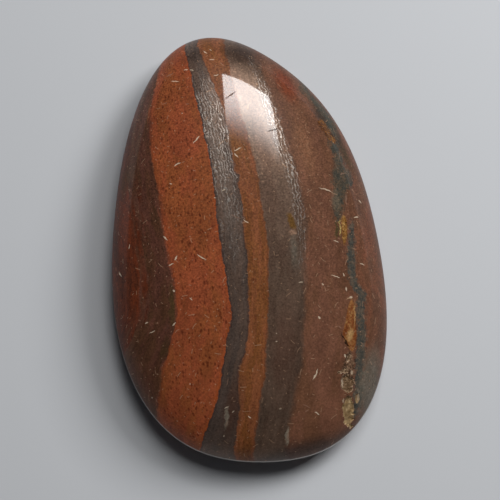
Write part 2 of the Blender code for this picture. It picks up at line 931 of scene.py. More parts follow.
@dataclass(frozen=True)
class Banding:
    """The bands and the tinted strips along the lines between them.

    Attributes:
        bands: The bands, from the left.
        fibre_share: Strength of a band's fibres, as a share of its streaks'.
        margins: The tinted strips.
        margin_start: Span of distances over which a strip begins.
        margin_spread: How far the streaks widen a strip, as a share of its width.
        margin_cut: How much of that is taken off again.
        margin_fade: Share of its width over which it fades.
    """

    bands: tuple[Band, ...] = (
        Band("left_rim", Mineral.JASPER, "803c20", "663420", streak=1.4),
        Band("dark_hematite", Mineral.MIXED, "744839", "68442f", streak=1.3, strands=0.1),
        Band("brick_jasper", Mineral.JASPER, "ac5836", "a45a32"),
        Band("grey_hematite", Mineral.HEMATITE, "7c6456", "6e5c52", strands=0.9),
        Band("orange_jasper", Mineral.JASPER, "a0603c", "90582f", streak=1.0),
        Band("brown_hematite", Mineral.HEMATITE, "7e6554", "745a4a", strands=0.1),
        Band("chocolate_jasper", Mineral.JASPER, "8a5c46", "80563e"),
        Band("right_rim", Mineral.JASPER, "8f5a42", "80563f"),
    )
    fibre_share: float = 0.8
    margins: tuple[Margin, ...] = (
        Margin(1, 1, 0.5, Tint("a8502a", 0.4)),
        Margin(2, -1, 0.42, Tint("b8582a", 0.65)),
        Margin(2, 1, 0.4, Tint("3a3436", 0.6)),
        Margin(3, -1, 0.3, Tint("3a3032", 0.5)),
        Margin(4, -1, 0.3, Tint("84401e", 0.4)),
    )
    margin_start: Span = (-0.04, 0.04)
    margin_spread: float = 2.0
    margin_cut: float = 0.3
    margin_fade: float = 0.6

    def lay(self, sheet: StoneSheet) -> tuple[Socket, Socket, Socket, Socket]:
        """Lays the bands side by side.

        Args:
            sheet: The stone's sheet.

        Returns:
            Colour, metallic share, roughness and how many strands there are.
        """
        colour = None
        traits = None
        for index, band in enumerate(self.bands):
            glow = 1.0
            sources = (sheet.streak, sheet.fibre, sheet.grain, sheet.cloud)
            amounts = (band.streak, band.streak * self.fibre_share, band.grain, band.cloud)
            for source, amount in zip(sources, amounts):
                glow = sheet.plus(glow, sheet.swing(source, amount))
            shade = sheet.scaled(sheet.blend(sheet.drift, tone(band.colour), tone(band.second)), glow)
            shade.node.label = band.name
            polish = POLISHES[band.mineral]
            trait = (polish.metallic, polish.roughness, band.strands, 1.0)
            if colour is None:
                colour, traits = shade, trait
                continue
            line = sheet.makeup.lines[index - 1]
            past = sheet.past(index - 1)
            if line.ragged:
                past = sheet.plus(past, sheet.swing(sheet.streak, line.ragged))
            inside = sheet.rise(past, -line.softness / 2, line.softness / 2)
            colour = sheet.blend(inside, colour, shade)
            traits = sheet.blend(inside, traits, trait)
        metallic, roughness, strands = sheet.parts(traits)
        return self.tint_margins(sheet, colour), metallic, roughness, strands

    def tint_margins(self, sheet: StoneSheet, colour: Socket) -> Socket:
        """Tints the strips along the lines.

        Args:
            sheet: The stone's sheet.
            colour: The colour so far.

        Returns:
            The new colour.
        """
        for margin in self.margins:
            inward = sheet.product(sheet.past(margin.line), margin.side)
            begun = sheet.rise(inward, *self.margin_start)
            spread, cut = margin.width * self.margin_spread, margin.width * self.margin_cut
            patchy = sheet.math("MULTIPLY_ADD", sheet.streak, spread, -cut)
            faded = sheet.rise(sheet.minus(patchy, inward), 0.0, margin.width * self.margin_fade)
            colour = sheet.tinted(colour, sheet.product(begun, faded), margin.tint)
        return colour


@dataclass(frozen=True)
class Strands:
    """Bright metallic strands, and dark gaps between them, in a band and along one line, brightest and
    most numerous near the highlight, which is partly a painted sheen.

    Attributes:
        per_mm: How many lie side by side in a millimetre.
        bends: The noise that bends them.
        sway: How far it bends them.
        breaks: The noise that breaks them off.
        break_step: How much faster that noise changes across them.
        amount_weight: What a full amount of strands adds to that noise.
        present: Span of its values over which strands come in.
        crest: Span of the wave's heights over which a strand rises.
        trough: Span of them over which a gap opens.
        band_run_with_sheen: How many strands the bands have down the length, most where the highlight
            lies, partly as a painted sheen.
        band_step: Share of a lamina that counts as distance across them.
        line: The line with strands along its left side, counted from 0 at the stone's left.
        width: How far they reach from it.
        start: Span of distances from it over which they begin.
        thin_from: Share of that width from which they thin out.
        line_run_with_sheen: How many they are down the length, most near the highlight, partly as a
            painted sheen.
        tint: Their pale colour, partly a painted sheen.
        gap_tint: The gaps' colour.
        metal: What a strand adds to the metallic share.
    """

    per_mm: float = 3.6
    bends: Swells = Swells(0.9, 5.0, 0.62, along=0.7, down=0.7)
    sway: float = 1.1
    breaks: Swells = Swells(1.8, 3.0, 0.65, along=0.4, down=0.4)
    break_step: float = 2.0
    amount_weight: float = 0.42
    present: Span = (0.67, 0.98)
    crest: Span = (0.3, 1.0)
    trough: Span = (-0.2, -0.9)
    band_run_with_sheen: Points = (
        (-22.0, 0.1), (-12.0, 0.2), (-4.0, 0.4), (3.0, 0.8), (12.0, 1.0), (16.0, 0.8), (19.0, 0.1),
    )
    band_step: float = 0.8
    line: int = 5
    width: float = 1.7
    start: Span = (-0.3, 0.0)
    thin_from: float = 0.4
    line_run_with_sheen: Points = (
        (-20.0, 0.0), (-9.0, 0.2), (-4.0, 0.5), (2.0, 0.9), (14.0, 1.0), (18.0, 0.5), (21.0, 0.0),
    )
    tint: Tint = Tint("c4bab0", 0.7)
    gap_tint: Tint = Tint("3e3430", 0.35)
    metal: float = 0.35

    def lay(self, sheet: StoneSheet, colour: Socket, strands: Socket) -> tuple[Socket, Socket]:
        """Lays the strands and the gaps over the bands.

        Args:
            sheet: The stone's sheet.
            colour: The colour so far.
            strands: How many strands the band has, from 0 to 1.

        Returns:
            The new colour and the strands' mask.
        """
        before = sheet.minus(sheet.edges[self.line], sheet.frayed)
        begun = sheet.rise(before, *self.start)
        thinned = sheet.rise(before, self.width, self.width * self.thin_from)
        strip = sheet.product(begun, thinned, sheet.down_length(self.line_run_with_sheen))
        amount = sheet.product(strands, sheet.down_length(self.band_run_with_sheen))
        in_band = self.weave(sheet, sheet.product(sheet.layer, self.band_step), amount)
        along_line = self.weave(sheet, before, strip)
        strand, gap = (sheet.highest(pair) for pair in zip(in_band, along_line))
        colour = sheet.tinted(colour, gap, self.gap_tint)
        return sheet.tinted(colour, strand, self.tint), strand

    def weave(self, sheet: StoneSheet, offset: Socket, amount: Socket) -> tuple[Socket, Socket]:
        """Draws fine wavy strands side by side.

        Args:
            sheet: The stone's sheet.
            offset: Distance across the strands.
            amount: How many strands there are, from 0 to 1.

        Returns:
            The strands' mask and the gaps' mask.
        """
        woven = sheet.plus(offset, sheet.swing(sheet.drawn(offset, self.bends), self.sway))
        wave = sheet.math("SINE", sheet.product(woven, math.tau * self.per_mm))
        patchy = sheet.drawn(sheet.product(woven, self.break_step), self.breaks)
        there = sheet.rise(sheet.math("MULTIPLY_ADD", amount, self.amount_weight, patchy), *self.present)
        strand = sheet.product(sheet.rise(wave, *self.crest), there)
        gap = sheet.product(sheet.rise(wave, *self.trough), there)
        return strand, gap


@dataclass(frozen=True)
class Seam:
    """The seam's teal and gold veins.

    Attributes:
        veins: The veins.
        mix: How strongly the fibres and the grain vary their colours.
        ends: Span of half widths over which a vein begins and ends.
        cover: How far it covers the bands.
    """

    veins: tuple[Vein, ...] = (
        Vein(
            course=(
                (0.3, 9.7), (2.0, 10.05), (3.0, 10.4), (4.0, 10.8), (5.7, 10.8),
                (8.3, 10.6), (10.3, 10.6), (12.1, 10.05), (14.5, 8.6),
            ),
            half_width=(
                (-0.5, 0.0), (0.5, 0.4), (2.0, 0.55), (3.0, 0.65), (3.7, 0.95), (4.8, 0.92),
                (5.7, 0.55), (7.0, 0.4), (8.3, 0.42), (10.3, 0.35), (12.5, 0.35), (15.5, 0.35),
            ),
            tones=((0.25, "3e423a"), (0.46, "545349"), (0.6, "6c5843"), (0.78, "847c70")),
            ragged=1.5,
            soft=0.6,
            on_face=False,
        ),
        Vein(
            course=(
                (-20.5, 6.6), (-18.3, 8.0), (-16.9, 8.4), (-15.2, 8.8), (-12.7, 9.55), (-9.7, 10.1),
                (-8.6, 10.3), (-7.9, 10.55), (-7.4, 10.4), (-6.7, 10.05), (-5.7, 10.0),
                (-4.4, 10.15), (-2.2, 10.6), (0.4, 11.15),
            ),
            half_width=(
                (-20.5, 0.0), (-19.0, 0.3), (-17.0, 0.5), (-15.2, 0.42), (-12.7, 0.47), (-9.7, 0.42),
                (-8.0, 0.42), (-7.4, 0.5), (-6.5, 0.36), (-4.4, 0.42), (-2.2, 0.34), (-0.6, 0.22),
                (0.5, 0.0),
            ),
            tones=((0.25, "3e413b"), (0.46, "585952"), (0.6, "726251"), (0.78, "8a8276")),
            ragged=1.2,
            soft=0.4,
        ),
        Vein(
            course=((8.1, 10.7), (9.0, 10.41), (9.7, 10.07), (10.35, 9.83), (11.1, 9.6)),
            half_width=((7.9, 0.0), (8.6, 0.3), (9.7, 0.32), (10.5, 0.25), (11.2, 0.0)),
            tones=((0.3, "4a260c"), (0.5, "7a4616"), (0.7, "b87c34")),
            ragged=1.0,
            soft=0.25,
        ),
        Vein(
            course=((-3.0, 9.72), (-1.95, 9.93), (-1.1, 10.06), (-0.3, 10.18), (0.6, 10.3)),
            half_width=((-3.0, 0.0), (-2.0, 0.2), (-1.1, 0.28), (-0.3, 0.28), (0.6, 0.0)),
            tones=((0.3, "623a16"), (0.5, "a06c30"), (0.7, "dcac68")),
            ragged=0.4,
            soft=0.2,
        ),
        Vein(
            course=((-16.9, 7.45), (-15.9, 7.55), (-14.9, 7.8), (-14.1, 8.05), (-13.0, 8.4)),
            half_width=((-17.1, 0.0), (-16.4, 0.5), (-14.9, 0.57), (-14.1, 0.5), (-12.8, 0.0)),
            tones=((0.3, "3a281e"), (0.5, "6e523e"), (0.72, "c49c7c")),
            ragged=1.0,
        ),
        Vein(
            course=(
                (-13.2, 8.55), (-12.05, 8.61), (-11.4, 8.64), (-10.6, 8.86), (-9.6, 9.11),
                (-8.0, 9.54),
            ),
            half_width=(
                (-13.3, 0.0), (-12.6, 0.38), (-12.05, 0.57), (-11.4, 0.67), (-10.6, 0.54),
                (-9.6, 0.41), (-8.7, 0.29), (-7.9, 0.0),
            ),
            tones=((0.3, "84441f"), (0.5, "a46436"), (0.7, "c48e54")),
            ragged=0.35,
        ),
    )
    mix: Weights = (0.9, 0.8)
    ends: Span = (0.02, 0.15)
    cover: float = 0.94

    def coats(self, sheet: StoneSheet) -> Iterator[Coat]:
        """Draws the veins one by one.

        Args:
            sheet: The stone's sheet.

        Yields:
            The mask and the colour of each.
        """
        share = sheet.mix_share(self.mix)
        for vein in self.veins:
            offset = sheet.math("ABSOLUTE", sheet.minus(sheet.across, sheet.down_length(vein.course)))
            half = sheet.down_length(vein.half_width)
            uneven = sheet.plus(half, sheet.swing(sheet.fray, vein.ragged))
            inside = sheet.rise(sheet.minus(uneven, offset), -vein.soft / 2, vein.soft / 2)
            mask = sheet.product(inside, sheet.rise(half, *self.ends), self.cover)
            if vein.on_face:
                mask = sheet.product(mask, sheet.face)
            yield mask, sheet.ramp(share, vein.tones)


@dataclass(frozen=True)
class PatchLayer:
    """Coloured places that lie over the bands together.

    Attributes:
        patches: The places.
        crook: How uneven their outlines are.
        mix: How strongly the fibres and the grain vary their colours.
    """

    patches: tuple[Patch, ...]
    crook: Crook = Crook(Swells(1.8, 3.0), 0.35)
    mix: Weights = (1.6, 1.0)

    def lay(self, sheet: StoneSheet, colour: Socket) -> Socket:
        """Returns the colour with the places laid over it."""
        return sheet.lay_over(colour, self.coats(sheet))[0]

    def coats(self, sheet: StoneSheet) -> Iterator[Coat]:
        """Draws the places one by one.

        Args:
            sheet: The stone's sheet.

        Yields:
            The mask and the colour of each.
        """
        uneven = sheet.wobble(sheet.place, self.crook)
        share = sheet.mix_share(self.mix)
        for patch in self.patches:
            depth = sheet.rise(sheet.oval(uneven, patch.where), 0.0, patch.edge)
            mask = sheet.product(depth, sheet.face, patch.strength)
            yield mask, sheet.blend(share, tone(patch.dark), tone(patch.pale))


@dataclass(frozen=True)
class PinholeLayer:
    """Dark red pinholes in the jaspers.

    Attributes:
        sizes: Their sizes.
        fields: The bands that have them.
        crowd: The noise that gathers them.
        crowd_weight: What it adds to a cell's own number.
        along: Share of the length that they read, which makes them longer than wide.
        rim: Span of distances from a cell's middle over which one darkens.
    """

    sizes: tuple[Pinholes, ...] = (
        Pinholes(0.24, (1.18, 1.28), Tint("6a240e", 0.6)),
        Pinholes(0.36, (1.22, 1.32), Tint("561a0a", 0.6)),
    )
    fields: tuple[PinholeField, ...] = (
        PinholeField(1, 2, (0.2, 0.6), (0.2, 0.5), 1.0),
        PinholeField(3, 4, (0.1, 0.4), (0.1, 0.4), 0.6),
    )
    crowd: Swells = Swells(1.4, along=0.3, down=0.0)
    crowd_weight: float = 1.2
    along: float = 0.6
    rim: Span = (0.42, 0.2)

    def lay(self, sheet: StoneSheet, colour: Socket) -> Socket:
        """Sprinkles the pinholes.

        Args:
            sheet: The stone's sheet.
            colour: The colour so far.

        Returns:
            The new colour.
        """
        inside = sheet.highest(self.field_mask(sheet, field) for field in self.fields)
        crowd = sheet.drawn(sheet.layer, self.crowd)
        place = sheet.joined(sheet.x, sheet.product(sheet.y, self.along), sheet.z)
        for size in self.sizes:
            cell = sheet.cells(place, size.cell)
            dot = sheet.rise(cell.outputs["Distance"], *self.rim)
            own = sheet.parts(cell.outputs["Color"])[0]
            chosen = sheet.rise(sheet.math("MULTIPLY_ADD", crowd, self.crowd_weight, own), *size.pick)
            colour = sheet.tinted(colour, sheet.product(dot, chosen, inside), size.tint)
        return colour

    def field_mask(self, sheet: StoneSheet, field: PinholeField) -> Socket:
        """Finds where one band has pinholes.

        Args:
            sheet: The stone's sheet.
            field: The band.

        Returns:
            Its mask.
        """
        from_left = sheet.rise(sheet.past(field.left), *field.left_span)
        from_right = sheet.rise(sheet.minus(sheet.edges[field.right], sheet.frayed), *field.right_span)
        return sheet.product(from_left, from_right, field.strength)


@dataclass(frozen=True)
class DashLayer:
    """Pale dashes and points: the large ones drawn, the small ones scattered.

    Attributes:
        bright: Strong dashes and points.
        bright_edge: Span of depths inside one over which it comes in.
        bright_tint: Their colour.
        faint: Weak ones.
        faint_edge: The same for a weak one.
        faint_tint: Their colour.
        crook: How uneven both are.
        strokes: The sizes of scattered strokes.
        point_shift: Where the cells of the scattered points are measured from.
        point_cell: Size of those cells.
        point_rim: Span of distances from a cell's middle over which a point brightens.
        point_pick: Span of a cell's own number over which it comes to hold a point.
        scatter_tint: Colour of the scattered strokes and points.
    """

    bright: tuple[Mark, ...] = (
        Mark(-3.8, 17.25, 1.0, -20),
        Mark(-2.5, 18.3, 0.55, 0),
        Mark(-1.9, 18.05, 0.45, -30),
        Mark(-0.25, 20.0, 0.65, -50),
        Mark(0.35, 20.2, 0.45, -55),
        Mark(0.3, 18.9, 0.5, -5),
        Mark(0.45, 17.0, 0.65, -5),
        Mark(-2.7, 10.3, 1.15, 40),
        Mark(1.2, 8.5, 1.0, 20),
        Mark(0.9, 7.9, 0.8, -55),
        Mark(-5.0, 8.15, 0.9, 15),
        Mark(-6.0, 6.3, 0.4, -15),
        Mark(-4.2, -1.7, 1.3, -47),
        Mark(-6.75, -1.25, 0.65, 47),
        Mark(-7.3, -1.8, 0.7, 12),
        Mark(-7.4, 0.95, 0.75, -60),
        Mark(-11.2, 1.1, 0.5, 62),
        Mark(-0.95, 4.6, 0.45, 35),
        Mark(-12.55, -1.3, 0.8, -77),
        Mark(-10.7, -6.9, 0.4, 17),
        Mark(-10.25, -7.85, 0.65, 15),
        Mark(-8.0, -7.6, 0.55, 36),
        Mark(-7.4, -4.4, 0.3, -8, 0.24),
        Mark(-5.9, -5.55, 0.4, -50),
        Mark(0.75, 1.05, 0.8, -40),
        Mark(5.0, -5.8, 0.6, 5),
        Mark(4.85, -14.85, 1.45, 51, 0.15),
        Mark(9.2, 3.15, 1.7, -24),
        Mark(11.8, 0.15, 0.6, 10),
        Mark(12.6, 1.8, 0.45, -60),
        Mark(9.3, -2.2, 0.65, -28),
        Mark(11.55, -4.7, 0.6, -25),
        Mark(8.5, -5.65, 1.05, -20),
        Mark(9.4, -5.6, 0.35, -80),
        Mark(7.1, -6.35, 0.3, -40),
        Mark(9.4, -7.05, 0.55, -95, 0.22),
        Mark(9.7, -7.9, 0.5, 0, 0.2),
        Mark(6.2, -9.5, 0.45, -47, 0.28),
        Mark(8.1, -13.5, 0.4, -80, 0.22),
        Mark(8.5, -15.25, 0.35, -86),
        Mark(4.35, -18.55, 0.5, -34),
        Mark(-4.3, -16.5, 0.55, 19),
        Mark(-3.7, -17.0, 0.35, 34),
        Mark(-2.25, -17.8, 0.45, -45),
        Mark(0.9, -17.5, 0.35, -7),
        Mark(-3.7, 13.4, 0.17, 0),
        Mark(-1.85, 3.9, 0.17, 0),
        Mark(-1.25, 3.5, 0.17, 0),
        Mark(1.75, -10.3, 0.18, 0),
        Mark(1.65, -11.05, 0.18, 0),
        Mark(-7.45, -13.65, 0.18, 0),
        Mark(-11.5, -14.15, 0.18, 0),
        Mark(-5.05, -19.1, 0.18, 0),
    )
    bright_edge: Span = (0.0, 0.45)
    bright_tint: Tint = Tint("f4dcbe", 0.95)
    faint: tuple[Mark, ...] = (
        Mark(-4.2, 18.2, 1.1, 17, 0.22),
        Mark(-5.3, 15.0, 0.8, 0),
        Mark(-3.0, 14.3, 0.55, -10),
        Mark(-12.1, 2.9, 0.7, -78),
        Mark(-0.2, 1.7, 1.4, -32, 0.14),
        Mark(-3.75, -14.1, 1.0, 63),
        Mark(11.25, 4.7, 0.7, 29, 0.2),
        Mark(11.1, 1.95, 1.4, -100, 0.2),
        Mark(7.65, -6.6, 0.3, 0),
        Mark(8.05, -10.65, 0.35, -45),
        Mark(10.7, -10.0, 0.6, -78, 0.2),
        Mark(3.5, -17.7, 1.0, -34),
        Mark(3.4, -18.2, 0.5, 13),
        Mark(1.2, -20.2, 1.15, 72, 0.28),
        Mark(-4.6, -18.0, 0.9, 62, 0.26),
        Mark(6.6, 4.85, 2.7, -69, 0.13),
    )
    faint_edge: Span = (0.0, 0.5)
    faint_tint: Tint = Tint("b89078", 0.5)
    crook: Crook = Crook(Swells(1.8, 1.0), 0.16)
    strokes: tuple[Strokes, ...] = (Strokes(2.0, 0.4, 0.05, 0.55), Strokes(1.1, 0.18, 0.045, 0.6))
    point_shift: tuple[float, float, float] = (7.3, 2.1, 4.4)
    point_cell: float = 0.7
    point_rim: Span = (0.14, 0.06)
    point_pick: Span = (0.4, 0.8)
    scatter_tint: Tint = Tint("d0a684", 0.6)

    def lay(self, sheet: StoneSheet, colour: Socket) -> Socket:
        """Lays the dashes and points.

        Args:
            sheet: The stone's sheet.
            colour: The colour so far.

        Returns:
            The new colour.
        """
        crooked = sheet.wobble(sheet.place, self.crook)
        faint = sheet.mark_mask(crooked, self.faint, self.faint_edge)
        bright = sheet.mark_mask(crooked, self.bright, self.bright_edge)
        scattered = self.scatter(sheet)
        colour = sheet.tinted(colour, faint, self.faint_tint)
        colour = sheet.tinted(colour, scattered, self.scatter_tint)
        return sheet.tinted(colour, bright, self.bright_tint)

    def scatter(self, sheet: StoneSheet) -> Socket:
        """Scatters small strokes and points.

        Args:
            sheet: The stone's sheet.

        Returns:
            Their mask.
        """
        normal = sheet.add("NewGeometry").outputs["Normal"]
        strokes = sheet.highest(self.stroke_mask(sheet, size, normal) for size in self.strokes)
        cell = sheet.cells(sheet.vector("ADD", sheet.place, self.point_shift), self.point_cell)
        point = sheet.rise(cell.outputs["Distance"], *self.point_rim)
        own = sheet.parts(cell.outputs["Color"])[1]
        point = sheet.product(point, sheet.rise(own, *self.point_pick))
        return sheet.math("MAXIMUM", strokes, point)

    def stroke_mask(self, sheet: StoneSheet, size: Strokes, normal: Socket) -> Socket:
        """Scatters strokes, at most one to a cell, each lying in the surface at its own turn.

        Args:
            sheet: The stone's sheet.
            size: Their size and number.
            normal: The surface's direction.

        Returns:
            Their mask.
        """
        cell = sheet.cells(sheet.place, size.cell, size.lie)
        length_pick, bow_pick, keep_pick = sheet.parts(cell.outputs["Color"])
        away = sheet.vector("SUBTRACT", sheet.place, cell.outputs["Position"])
        heading = sheet.vector("SUBTRACT", cell.outputs["Color"], MIDDLE)
        flat = sheet.vector("SUBTRACT", heading, sheet.scaled(normal, sheet.dot(heading, normal)))
        ahead = sheet.vector("NORMALIZE", flat)
        side = sheet.vector("CROSS_PRODUCT", normal, ahead)
        forth = sheet.dot(away, ahead)
        bend = sheet.product(sheet.minus(bow_pick, 0.5), size.bow)
        bow = sheet.product(forth, forth, bend)
        off = sheet.math("ABSOLUTE", sheet.plus(sheet.dot(away, side), bow))
        share = sheet.math("MULTIPLY_ADD", length_pick, 1 - size.shortest, size.shortest)
        reach = sheet.product(share, size.long_half)
        thin = sheet.rise(off, size.thin_half, size.thin_half * size.core)
        short = sheet.rise(sheet.minus(reach, sheet.math("ABSOLUTE", forth)), 0.0, size.tip)
        chosen = sheet.rise(keep_pick, 1 - size.keep, 1 - size.keep + size.pick_width)
        return sheet.product(thin, short, chosen)


@dataclass(frozen=True)
class Scratches:
    """Scratches in the polish, darkened with painted shade where they break the highlight.

    Attributes:
        marks: The scratches.
        crook: How uneven they are.
        edge: Span of depths inside one over which it comes in.
        tint: The painted shade laid along them, standing for the highlight that they break.
    """

    marks: tuple[Mark, ...] = (
        Mark(1.5, 14.45, 1.9, 27, 0.2),
        Mark(5.0, 10.0, 1.6, 9, 0.17),
    )
    crook: Crook = Crook(Swells(2.2), 0.12)
    edge: Span = (0.0, 0.6)
    tint: Tint = Tint("241a16", 0.6)

    def lay(self, sheet: StoneSheet, colour: Socket) -> tuple[Socket, Socket]:
        """Draws the scratches.

        Args:
            sheet: The stone's sheet.
            colour: The colour so far.

        Returns:
            The new colour and the scratches' mask.
        """
        mask = sheet.mark_mask(sheet.wobble(sheet.place, self.crook), self.marks, self.edge)
        # Painted shade: the scratches are darkened where they break the highlight.
        return sheet.tinted(colour, mask, self.tint), mask


@dataclass(frozen=True)
class PaintedRimReflection:
    """A painted reflection: the thin pale line along the stone's widest line, standing for bright
    surroundings mirrored at the grazing rim.

    Attributes:
        top: Span of heights over which it begins, from above.
        foot: The same from below.
        towards: The direction, seen from above, in which it is strongest.
        run: Span of distances that way over which it grows.
        share: How far it covers the bands where it is weakest.
        growth: How much more it covers them where it is strongest.
        tint: Its colour.
    """

    top: Span = (3.2, 2.8)
    foot: Span = (1.8, 2.2)
    towards: tuple[float, float, float] = (0.6, -0.8, 0.0)
    run: Span = (-10.0, 6.0)
    share: float = 0.15
    growth: float = 0.8
    # tint: The colour of the painted reflection.
    tint: Tint = Tint("f0ebe6", 1.0)

    def lay(self, sheet: StoneSheet, colour: Socket) -> Socket:
        """Lays the painted reflection along the widest line.

        Args:
            sheet: The stone's sheet.
            colour: The colour so far.

        Returns:
            The new colour.
        """
        strip = sheet.product(sheet.rise(sheet.z, *self.top), sheet.rise(sheet.z, *self.foot))
        grown = sheet.rise(sheet.dot(sheet.place, self.towards), *self.run)
        mask = sheet.product(strip, sheet.math("MULTIPLY_ADD", grown, self.growth, self.share))
        return sheet.tinted(colour, mask, self.tint)


@dataclass(frozen=True)
class BrokenFloor:
    """The rough floors and pale chipped edges of the broken hollows.

    Attributes:
        crumb: The crumbs on the floors.
        tones: The colours of the crumbs.
        fill_tones: The colours of the smoother filling at the seam's end.
        fill_run: Span of places along the length over which the filling takes over.
        start: Span of depths over which a floor begins.
        chip_depth: Span of depths over which a chipped edge ends.
        chip_rise: Span of the crumbs' values over which it comes in.
        chip_tint: Its colour.
    """

    crumb: Swells = Swells(5.0, 3.0, 0.7)
    tones: Stops = ((0.3, "402e20"), (0.45, "7c6046"), (0.6, "a08060"), (0.75, "dcc8ac"))
    fill_tones: Stops = ((0.3, "8c7048"), (0.5, "b4946a"), (0.7, "dcc090"))
    fill_run: Span = (-17.2, -18.0)
    start: Span = (0.01, 0.06)
    chip_depth: Span = (0.16, 0.07)
    chip_rise: Span = (0.42, 0.58)
    chip_tint: Tint = Tint("dcbc9c", 0.8)

    def lay(self, sheet: StoneSheet, colour: Socket) -> tuple[Socket, Socket]:
        """Dresses the hollows.

        Args:
            sheet: The stone's sheet.
            colour: The colour so far.

        Returns:
            The new colour, and a mask of what is broken.
        """
        depth = sheet.add("Attribute", attribute_name=BROKEN).outputs["Fac"]
        crumbs = sheet.noise(sheet.place, self.crumb)
        floor = sheet.ramp(crumbs, self.tones)
        fill = sheet.ramp(sheet.fibre, self.fill_tones)
        floor = sheet.blend(sheet.rise(sheet.y, *self.fill_run), floor, fill)
        broken = sheet.rise(depth, *self.start)
        chipped = sheet.product(sheet.rise(depth, *self.chip_depth), sheet.rise(crumbs, *self.chip_rise))
        colour = sheet.blend(broken, colour, floor)
        return sheet.tinted(colour, sheet.product(broken, chipped), self.chip_tint), broken


@dataclass(frozen=True)
class Surface:
    """The fine relief, and the polish over it.

    Attributes:
        grain_height: Height of the grain.
        strand_height: Height of the strands.
        scratch_height: Height of the scratches.
        broken_roughness: What a broken floor adds to the roughness.
        specular: The body's own reflection.
        coat_roughness: Roughness of the polish.
        coat_ior: The polish's index of refraction.
        scratch_dulling: How far a scratch dulls the polish.
        steep_top: Span of heights over which the steep flank's dullness begins, from above.
        steep_foot: The same from below.
        steep_dulling: How far the steep flank dulls the polish.
    """

    grain_height: float = 3.0
    strand_height: float = 4.0
    scratch_height: float = -14.0
    broken_roughness: float = 0.4
    specular: float = 0.15
    coat_roughness: float = 0.05
    coat_ior: float = 1.5
    scratch_dulling: float = 0.9
    steep_top: Span = (7.6, 5.2)
    steep_foot: Span = (2.5, 2.9)
    steep_dulling: float = 0.96

    def relief(self, sheet: StoneSheet, strand: Socket, scratch: Socket) -> Socket:
        """Turns grain, strands and scratches into fine relief.

        Args:
            sheet: The stone's sheet.
            strand: The strands' mask.
            scratch: The scratches' mask.

        Returns:
            The surface's direction with the relief on it.
        """
        height = sheet.product(sheet.grain, self.grain_height)
        height = sheet.math("MULTIPLY_ADD", strand, self.strand_height, height)
        height = sheet.math("MULTIPLY_ADD", scratch, self.scratch_height, height)
        node = sheet.add("Bump")
        node.inputs["Strength"].default_value = 1.0
        node.inputs["Distance"].default_value = MICROMETRE
        sheet.feed(node.inputs["Height"], height)
        return node.outputs["Normal"]

    def polish(self, sheet: StoneSheet, sound: Socket, scratch: Socket) -> Socket:
        """Lays the polish, which is dull in hollows and scratches and on the steep flank.

        Args:
            sheet: The stone's sheet.
            sound: 1 where the stone isn't broken out.
            scratch: The scratches' mask.

        Returns:
            The polish's strength.
        """
        unscratched = sheet.math("MULTIPLY_ADD", scratch, -self.scratch_dulling, 1.0)
        steep = sheet.product(sheet.rise(sheet.z, *self.steep_top), sheet.rise(sheet.z, *self.steep_foot))
        even = sheet.math("MULTIPLY_ADD", steep, -self.steep_dulling, 1.0)
        return sheet.product(sound, unscratched, even)


